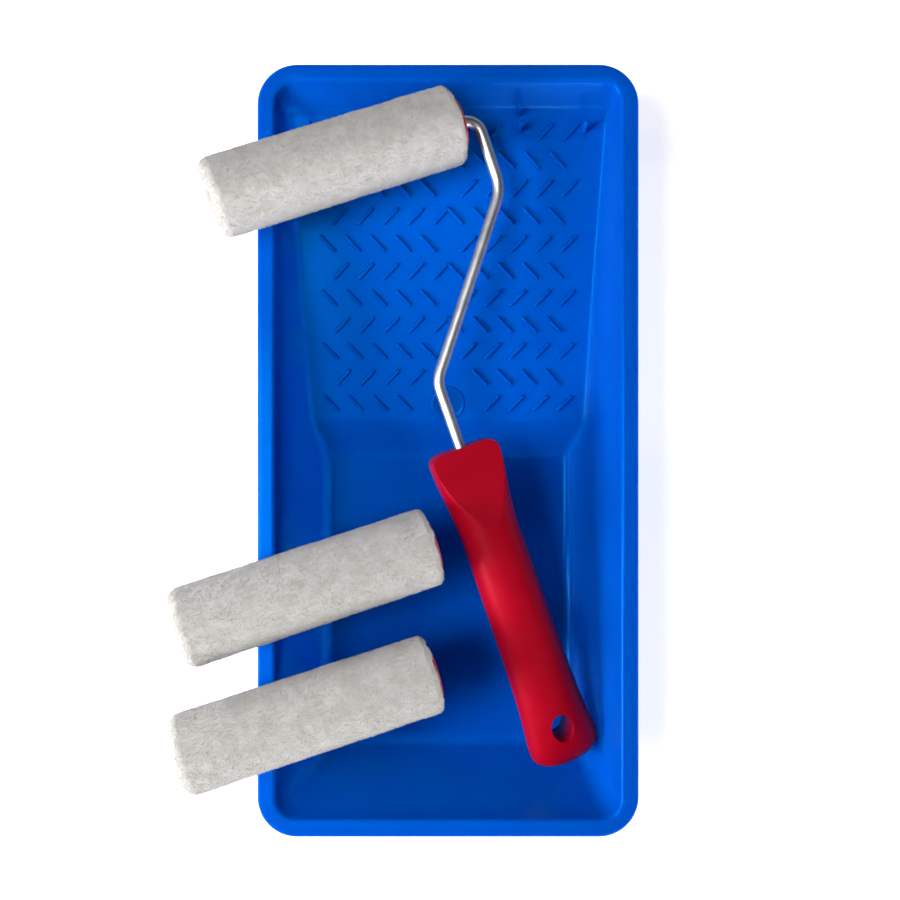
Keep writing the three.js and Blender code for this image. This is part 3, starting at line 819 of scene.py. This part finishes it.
def pile_cover(prefix, place, body, material, seed, cap_gap):
    """The plush cover: a gently uneven closed skin with short fibres growing out of it."""
    rng = np.random.default_rng(seed)
    count = 180
    outer = pile_profile(cap_gap)
    inner = [(CAP_X - cap_gap - 0.4, 12.2), (CAP_X - cap_gap - 0.6, PILE_INNER_R), (0.0, PILE_INNER_R),
             (OPEN_X + 3.0, PILE_INNER_R), (OPEN_X + 1.8, 11.3)]
    outline = np.concatenate([outer, inner])
    a = np.linspace(0, 2 * np.pi, count, endpoint=False)
    xs, angle = np.repeat(outline[:, 0], count), np.tile(a, len(outline))
    rs = np.repeat(outline[:, 1], count)
    local = np.stack([xs, rs * np.cos(angle), rs * np.sin(angle)], 1)
    uneven = sum(height * value_noise(local, pitch, rng) for height, pitch in UNEVEN)
    near_end = eased(xs, OPEN_X + 8, OPEN_X + 1) + eased(xs, CAP_X - 6, CAP_X - 1)
    xs = xs + near_end * np.clip(END_WAVE * value_noise(local, END_PITCH, rng), END_LOW, END_HIGH)
    is_outer = np.arange(len(rs)) < len(outer) * count
    rs = np.where(is_outer, rs + np.clip(uneven, UNEVEN_LOW, UNEVEN_HIGH), rs)
    local = np.stack([xs, rs * np.cos(angle), rs * np.sin(angle)], 1)
    faces = grid_faces(len(outline), count)
    last = (len(outline) - 1) * count
    faces += [(last + i, last + (i + 1) % count, (i + 1) % count, i) for i in range(count)]
    cover = new_object(prefix + "_pile", placed(place, local), faces, material, body, 180)
    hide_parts(prefix + "_pile_cover")
    vertices, faces = nap(local.reshape(len(outline), count, 3)[:len(outer)], rng)
    mesh_only(prefix + "_nap", placed(place, vertices), faces, material, body)


def nap(surface, rng):
    """Short three-sided fibres standing on the cover, leaning at random."""
    rows, columns, _ = surface.shape
    number = FIBRES
    span = np.linalg.norm(np.diff(surface.mean(1), axis=0), axis=1) + 0.25
    span = np.concatenate([[0], np.cumsum(span)])
    r = np.interp(rng.uniform(0, span[-1] * 0.9999, number), span, np.arange(rows))
    c = rng.uniform(0, columns, number)
    i, j = np.minimum(r.astype(int), rows - 2), c.astype(int) % columns
    along, round_ = (r - i)[:, None], (c - np.floor(c))[:, None]
    root = surface[i, j] + (surface[i + 1, j] - surface[i, j]) * along
    root = root + (surface[i, (j + 1) % columns] - surface[i, j]) * round_
    out = np.cross(surface[i, (j + 1) % columns] - surface[i, j], surface[i + 1, j] - surface[i, j])
    out /= np.linalg.norm(out, axis=1)[:, None]
    out *= np.sign((out * (root * (0, 1, 1))).sum(1) + 1e-9)[:, None]
    lean = out + rng.normal(0, FIBRE_LEAN, (number, 3))
    lean /= np.linalg.norm(lean, axis=1)[:, None]
    across = np.cross(lean, rng.normal(size=(number, 3)))
    across /= np.linalg.norm(across, axis=1)[:, None]
    other = np.cross(lean, across)
    width = rng.uniform(*FIBRE_WIDTHS, number)[:, None]
    base = root - out * FIBRE_ROOT
    tip = base + lean * rng.uniform(*FIBRE_LENGTHS, number)[:, None]
    thirds = (0.0, 2 * math.pi / 3, 4 * math.pi / 3)
    corners = [base + width * (across * math.cos(t) + other * math.sin(t)) for t in thirds]
    points = np.stack(corners + [tip], 1).reshape(-1, 3)
    k = np.arange(number)[:, None] * 4
    faces = np.concatenate([k + (2, 1, 0), k + (0, 1, 3), k + (1, 2, 3), k + (2, 0, 3)])
    return points, faces


def mesh_only(name, vertices, triangles, material, body):
    """A mesh of many small closed pieces, built straight from arrays."""
    mesh = bpy.data.meshes.new(name)
    mesh.vertices.add(len(vertices))
    mesh.vertices.foreach_set("co", (np.asarray(vertices) * MM).ravel())
    mesh.loops.add(triangles.size)
    mesh.loops.foreach_set("vertex_index", triangles.ravel())
    mesh.polygons.add(len(triangles))
    mesh.polygons.foreach_set("loop_start", np.arange(0, triangles.size, 3))
    mesh.update(calc_edges=True)
    mesh.validate()
    obj = bpy.data.objects.new(name, mesh)
    bpy.context.scene.collection.objects.link(obj)
    mesh.materials.append(material)
    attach(obj, body)
    return obj


def sleeve_fittings(prefix, place, body, looks):
    """The domed cap, the recessed end plug and the core tube, turned finer than the CAD's."""
    dome = [(CAP_X + CAP_DOME * math.sqrt(1 - f * f), CORE_R * f) for f in np.linspace(1, 0.4, 14)]
    cap = [(CAP_X - SPIGOT_LENGTH, BORE_R), (CAP_X - SPIGOT_LENGTH, SPIGOT_R), (CAP_X - CAP_FLANGE, SPIGOT_R),
           (CAP_X - CAP_FLANGE, CORE_R), (CAP_X - 0.15, CORE_R)] + dome[1:] + [
           (CAP_X + CAP_DOME * 0.93, 4.0), (CAP_X + 0.9, 3.4), (CAP_X - 2.5, BORE_R)]
    web = OPEN_X + RECESS_DEPTH
    face, gap = OPEN_X + PLUG_SET_BACK, 0.1
    flange = face + PLUG_FLANGE
    plug = rounded([(face, RECESS_R), (face, CORE_R), (flange, CORE_R), (flange, SPIGOT_R),
                    (OPEN_X + SPIGOT_LENGTH, SPIGOT_R), (OPEN_X + SPIGOT_LENGTH, BORE_R), (web, BORE_R),
                    (web, RECESS_R)], 0.35)
    tube_low, tube_high = flange + gap, CAP_X - CAP_FLANGE - gap
    tube = rounded([(tube_low, CORE_BORE_R), (tube_low, CORE_R), (tube_high, CORE_R),
                    (tube_high, CORE_BORE_R)], 0.2)
    for name, outline, slot in (("bearing_cap", cap, "cap_plastic"), ("end_plug", plug, "cap_plastic"),
                                ("core_tube", tube, "core_plastic")):
        vertices, faces = turned(outline)
        made = new_object(f"{prefix}_{name}_turned", placed(place, vertices), faces, looks[slot], body,
                          30)
        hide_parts(f"{prefix}_{name}")


def retaining_parts(place, looks):
    """The push-on clip in the plug's recess and the collar behind the plug."""
    clip_x = OPEN_X + RECESS_DEPTH - PLAY - CLIP_WIDTH
    collar_x = OPEN_X + SPIGOT_LENGTH + PLAY
    for name, start, width, radius in (("retaining_clip", clip_x, CLIP_WIDTH, CLIP_R),
                                       ("stop_collar", collar_x, COLLAR_WIDTH, COLLAR_R)):
        end = start + width
        outline = rounded([(start, BORE_R), (start, radius), (end, radius), (end, BORE_R)], 0.4)
        vertices, faces = turned(outline, 64)
        made = new_object(name + "_turned", placed(place, vertices), faces, looks["spring_steel"],
                          "roller_frame", 30)
        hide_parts(name)


# ---- Camera, light and floor -------------------------------------------------------------------

def point_at(obj, target):
    direction = Vector(target) - obj.location
    obj.rotation_euler = direction.to_track_quat("-Z", "Y").to_euler()


def camera():
    """Straight above the tray, a hair off its middle."""
    data = bpy.data.cameras.new("camera")
    data.sensor_width = SENSOR
    data.lens = LENS
    data.clip_start = 0.01
    made = bpy.data.objects.new("camera", data)
    bpy.context.scene.collection.objects.link(made)
    middle_y = (RIM_FRONT_Y + RIM_BACK_Y) / 2
    made.location = (CAMERA_X * MM, (middle_y + CAMERA_Y) * MM, (RIM_Z + CAMERA_HEIGHT) * MM)
    bpy.context.scene.camera = made


def area_light(name, place, target, size, power, spread=180):
    data = bpy.data.lights.new(name, "AREA")
    data.shape = "RECTANGLE"
    data.size, data.size_y = size
    data.energy = power
    data.spread = math.radians(spread)
    made = bpy.data.objects.new(name, data)
    bpy.context.scene.collection.objects.link(made)
    made.location = place
    made.visible_camera = False
    point_at(made, target)


def lamps():
    """A high and a low key from the left, low lamps for walls and sleeve undersides, and a weak overhead."""
    middle = Vector(LIT_MIDDLE)
    high_key = middle + Vector(KEY_DIRECTION).normalized() * KEY_DISTANCE
    area_light("key", high_key, middle, KEY_SIZE, KEY_POWER)
    area_light("key_low", middle + Vector(LOW_KEY_OFFSET), middle, LOW_KEY_SIZE, LOW_KEY_POWER)
    for lamp in LOW_LAMPS:
        area_light(*lamp)
    area_light("overhead", middle + Vector(OVERHEAD_OFFSET), middle, OVERHEAD_SIZE, OVERHEAD_POWER)


def surround():
    """The world: a faint even glow, brightest in a pale ring at the horizon, with two soft lobes."""
    world = bpy.data.worlds.new("studio")
    world.use_nodes = True
    tree = world.node_tree
    background = tree.nodes["Background"]
    background.inputs["Color"].default_value = (1, 1, 1, 1)
    where = tree.nodes.new("ShaderNodeTexCoord")

    def made(kind, first, second=None, third=None):
        """The output of a math node fed with numbers or other nodes' outputs."""
        node = tree.nodes.new("ShaderNodeMath")
        node.operation = kind
        for socket, value in zip(node.inputs, (first, second, third)):
            if isinstance(value, (int, float)):
                socket.default_value = value
            elif value is not None:
                tree.links.new(value, socket)
        return node.outputs[0]

    def facing(axis):
        """How far the view direction agrees with an axis, from -1 to 1."""
        dot = tree.nodes.new("ShaderNodeVectorMath")
        dot.operation = "DOT_PRODUCT"
        dot.inputs[1].default_value = Vector(axis).normalized()
        tree.links.new(where.outputs["Generated"], dot.inputs[0])
        return dot.outputs["Value"]

    level = made("SUBTRACT", 1.0, made("ABSOLUTE", facing((0, 0, 1))))
    total = made("MULTIPLY_ADD", made("POWER", level, HORIZON_SHARPNESS), HORIZON, AMBIENT)
    for axis, sharpness, strength in SURROUND:
        lobe = made("POWER", made("MAXIMUM", facing(axis), 0.0), sharpness)
        total = made("MULTIPLY_ADD", lobe, strength, total)
    tree.links.new(total, background.inputs["Strength"])
    bpy.context.scene.world = world


def floor():
    """The bright sheet the tray stands on, and a darker patch of painted shade that keeps the sheet's glow
    off the well's floor.
    """
    paper = Shader("floor_paper", Roughness=0.9, Emission_Strength=FLOOR_GLOW)
    paper.bsdf.inputs["Emission Color"].default_value = (1, 1, 1, 1)
    paper.into("Base Color", paper.ramp(paper.noise(8, 3), (
        (0.3, (0.90, 0.90, 0.90, 1)), (0.7, (0.93, 0.93, 0.93, 1)))))
    # Painted shade: this patch is greyer than the sheet and has no glow, standing in for the shade under the
    # well.
    shade = Shader("floor_shade", Roughness=0.9)
    shade.into("Base Color", shade.ramp(shade.noise(8, 3), (
        (0.3, (0.60, 0.60, 0.60, 1)), (0.7, (0.64, 0.64, 0.64, 1)))))
    floor_sheet("floor", paper, FLOOR_HALF, -FLOOR_HALF, FLOOR_HALF, 0)
    floor_sheet("floor_shade", shade, SHADE_HALF_X, SHADE_FRONT_Y, SHADE_BACK_Y, SHADE_RISE)


def floor_sheet(name, look, half_x, front_y, back_y, z):
    mesh = bpy.data.meshes.new(name)
    corners = [(-half_x, front_y, z), (half_x, front_y, z), (half_x, back_y, z), (-half_x, back_y, z)]
    mesh.from_pydata(corners, [], [(0, 1, 2, 3)])
    made = bpy.data.objects.new(name, mesh)
    mesh.materials.append(look.material)
    bpy.context.scene.collection.objects.link(made)


# ---- Build -------------------------------------------------------------------------------------

camera()
lamps()
surround()
floor()
bpy.context.scene.view_settings.view_transform = "Standard"

looks = {make.__name__: make() for make in (
    tray_plastic, handle_plastic, wire_steel, spring_steel, cap_plastic, core_plastic, pile_fabric)}

tray_shell(looks["tray_plastic"])
ramp_ribs(looks["tray_plastic"])
ramp_posts(looks["tray_plastic"])
ramp_boss(looks["tray_plastic"])
tray_legs(looks["tray_plastic"])

tool_place = roller_place()
wire_frame(tool_place, looks["wire_steel"])
handle_body(tool_place, looks["handle_plastic"])
retaining_parts(tool_place, looks)

sleeves = (("roller", tool_place, "roller_sleeve", ROLLER_CAP_GAP),
           ("spare_1", spare_place("spare_1"), "spare_sleeve_1", SPARE_CAP_GAP),
           ("spare_2", spare_place("spare_2"), "spare_sleeve_2", SPARE_CAP_GAP))
for seed, (prefix, place, body, cap_gap) in enumerate(sleeves, PILE_SEED):
    pile_cover(prefix, place, body, looks["pile_fabric"], seed, cap_gap)
    sleeve_fittings(prefix, place, body, looks)
